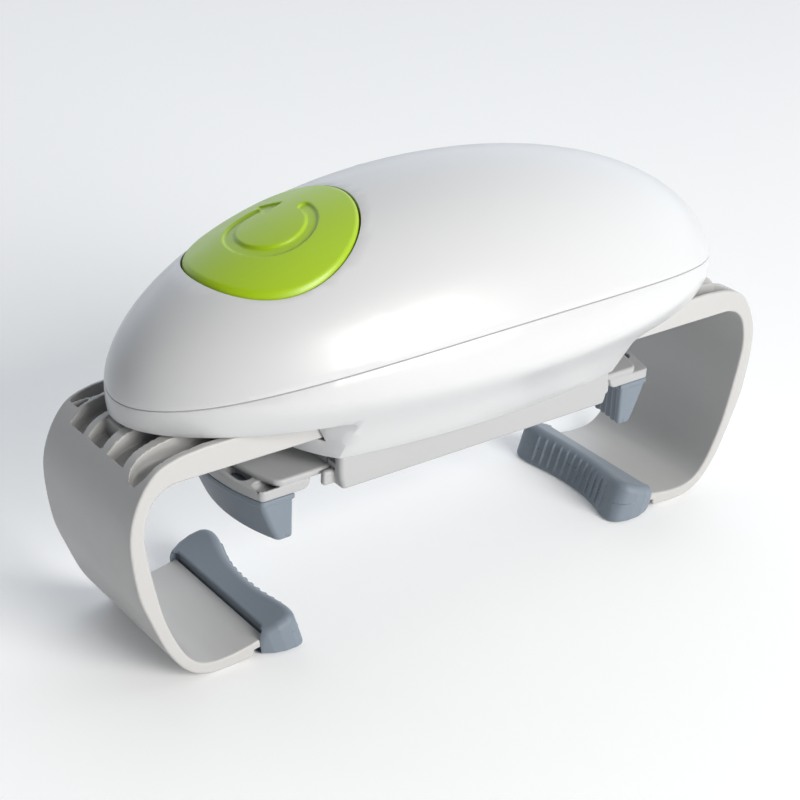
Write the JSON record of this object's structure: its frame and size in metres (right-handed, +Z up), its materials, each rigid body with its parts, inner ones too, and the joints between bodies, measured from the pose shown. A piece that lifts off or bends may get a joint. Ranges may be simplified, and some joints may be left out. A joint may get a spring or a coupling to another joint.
{
  "type": "electric jar opener",
  "caption": "Egg-shaped battery jar opener: geared C-shaped arms grip the jar while a motor turns a carrier with sliding lid jaws; press button on top.",
  "frame": {"origin": "on the floor under the centre of the housing, midway between the arms", "axes": "+X along the housing's length, away from the button end; +Y to the rear flank with the battery door; +Z up"},
  "size_m": [0.1898, 0.0798, 0.1041],
  "materials": {
    "shell_white": "polished",
    "button_green": "polished",
    "arm_grey": "fine matte",
    "jaw_grey": "satin",
    "grip_rubber": "matte",
    "inner_grey": "matte",
    "gear_nylon": "satin",
    "steel": "brushed",
    "brass": "machined",
    "cell_wrap": "satin wrap",
    "board_green": "matte",
    "switch_black": "matte"
  },
  "bodies": {
    "housing": {"top_cover": "shell_white", "lower_shell": "shell_white", "bottom_cover": "jaw_grey", "battery_door": "shell_white", "battery_tray": "inner_grey", "battery_cells": "cell_wrap", "battery_contacts": "steel", "battery_springs": "steel", "housing_screws": "steel", "chassis_plate": "inner_grey", "chassis_screws": "steel", "gearbox_plate": "inner_grey", "gearbox_columns": "inner_grey", "idler_pins": "steel", "arm_bush": "brass", "circuit_board": "board_green", "push_switch": "switch_black", "spring_holder": "inner_grey", "board_posts": "inner_grey", "motor_can": "steel", "button_spring": "steel"},
    "button": {"button": "button_green"},
    "arm_left": {"left_arm": "arm_grey", "left_arm_pad": "grip_rubber"},
    "arm_right": {"right_arm": "arm_grey", "right_arm_pad": "grip_rubber"},
    "arm_drive": {"arm_pinion": "gear_nylon", "ring_gear": "gear_nylon"},
    "lid_carrier": {"lid_carrier": "jaw_grey", "turntable_keeper": "inner_grey", "keeper_screws": "steel"},
    "jaw_left": {"left_jaw": "jaw_grey", "left_jaw_pad": "grip_rubber"},
    "jaw_right": {"right_jaw": "jaw_grey", "right_jaw_pad": "grip_rubber"},
    "jaw_drive": {"jaw_pinion": "gear_nylon", "pinion_clip": "steel"},
    "planet_carrier": {"planet_carrier": "steel", "planet_pins": "steel", "spindle": "steel"},
    "planet_1": {"planet_gear_1": "gear_nylon"},
    "planet_2": {"planet_gear_2": "gear_nylon"},
    "planet_3": {"planet_gear_3": "gear_nylon"},
    "sun": {"sun_gear": "gear_nylon"},
    "drive_gear": {"drive_gear": "gear_nylon"},
    "idler_two": {"idler_gear_2": "gear_nylon"},
    "idler_one": {"idler_gear_1": "gear_nylon"},
    "motor_rotor": {"motor_shaft": "steel", "motor_pinion": "brass"}
  },
  "joints": [
    {"name": "button_press", "type": "slide", "parent": "housing", "child": "button", "axis": [0, 0, -1], "range_m": [0, 0.0015], "stiffness_N_per_m": 800, "springref_m": -0.001, "deforming": ["button_spring"]},
    {"name": "arm_left_slide", "type": "slide", "parent": "housing", "child": "arm_left", "axis": [-1, 0, 0], "range_m": [-0.0275, 0.013]},
    {"name": "arm_right_slide", "type": "slide", "parent": "housing", "child": "arm_right", "axis": [1, 0, 0], "range_m": [-0.0275, 0.013]},
    {"name": "arm_drive_turn", "type": "hinge", "parent": "housing", "child": "arm_drive", "pos_m": [0, 0, 0.062], "axis": [0, 0, 1], "range_deg": [-107, 226]},
    {"name": "lid_turn", "type": "hinge", "parent": "housing", "child": "lid_carrier", "pos_m": [0, 0, 0.0486], "axis": [0, 0, 1], "continuous": true},
    {"name": "jaw_left_slide", "type": "slide", "parent": "lid_carrier", "child": "jaw_left", "axis": [1, 0, 0], "range_m": [0, 0.036]},
    {"name": "jaw_right_slide", "type": "slide", "parent": "lid_carrier", "child": "jaw_right", "axis": [-1, 0, 0], "range_m": [0, 0.036]},
    {"name": "jaw_drive_turn", "type": "hinge", "parent": "lid_carrier", "child": "jaw_drive", "pos_m": [0, 0, 0.0445], "axis": [0, 0, 1], "range_deg": [0, 295]},
    {"name": "planet_carrier_turn", "type": "hinge", "parent": "arm_drive", "child": "planet_carrier", "pos_m": [0, 0, 0.065], "axis": [0, 0, 1], "continuous": true},
    {"name": "planet_1_spin", "type": "hinge", "parent": "planet_carrier", "child": "planet_1", "pos_m": [0, 0.0096, 0.0679], "axis": [0, 0, 1], "continuous": true},
    {"name": "planet_2_spin", "type": "hinge", "parent": "planet_carrier", "child": "planet_2", "pos_m": [-0.00831, -0.0048, 0.0679], "axis": [0, 0, 1], "continuous": true},
    {"name": "planet_3_spin", "type": "hinge", "parent": "planet_carrier", "child": "planet_3", "pos_m": [0.00831, -0.0048, 0.0679], "axis": [0, 0, 1], "continuous": true},
    {"name": "sun_spin", "type": "hinge", "parent": "arm_drive", "child": "sun", "pos_m": [0, 0, 0.068], "axis": [0, 0, 1], "continuous": true},
    {"name": "drive_gear_spin", "type": "hinge", "parent": "housing", "child": "drive_gear", "pos_m": [0, 0, 0.0727], "axis": [0, 0, 1], "continuous": true},
    {"name": "idler_two_spin", "type": "hinge", "parent": "housing", "child": "idler_two", "pos_m": [0.0166, -0.00965, 0.0744], "axis": [0, 0, 1], "continuous": true},
    {"name": "idler_one_spin", "type": "hinge", "parent": "housing", "child": "idler_one", "pos_m": [0.031, -0.0095, 0.083], "axis": [0, 0, 1], "continuous": true},
    {"name": "motor_spin", "type": "hinge", "parent": "housing", "child": "motor_rotor", "pos_m": [0.045, -0.00613, 0.0897], "axis": [0, 0, 1], "continuous": true}
  ],
  "couplings": [
    {"joint": "arm_right_slide", "follows": "arm_left_slide", "ratio": 1},
    {"joint": "arm_drive_turn", "follows": "arm_left_slide", "rad_per_m": -142.86},
    {"joint": "jaw_right_slide", "follows": "jaw_left_slide", "ratio": 1},
    {"joint": "jaw_drive_turn", "follows": "jaw_left_slide", "rad_per_m": 142.86},
    {"joint": "planet_carrier_turn", "follows": "lid_turn", "ratio": 1},
    {"joint": "planet_1_spin", "follows": "lid_turn", "ratio": -3},
    {"joint": "planet_2_spin", "follows": "lid_turn", "ratio": -3},
    {"joint": "planet_3_spin", "follows": "lid_turn", "ratio": -3},
    {"joint": "sun_spin", "follows": "lid_turn", "ratio": 4},
    {"joint": "drive_gear_spin", "follows": "lid_turn", "ratio": 4},
    {"joint": "idler_two_spin", "follows": "lid_turn", "ratio": -12},
    {"joint": "idler_one_spin", "follows": "lid_turn", "ratio": 24},
    {"joint": "motor_spin", "follows": "lid_turn", "ratio": -62.4}
  ]
}
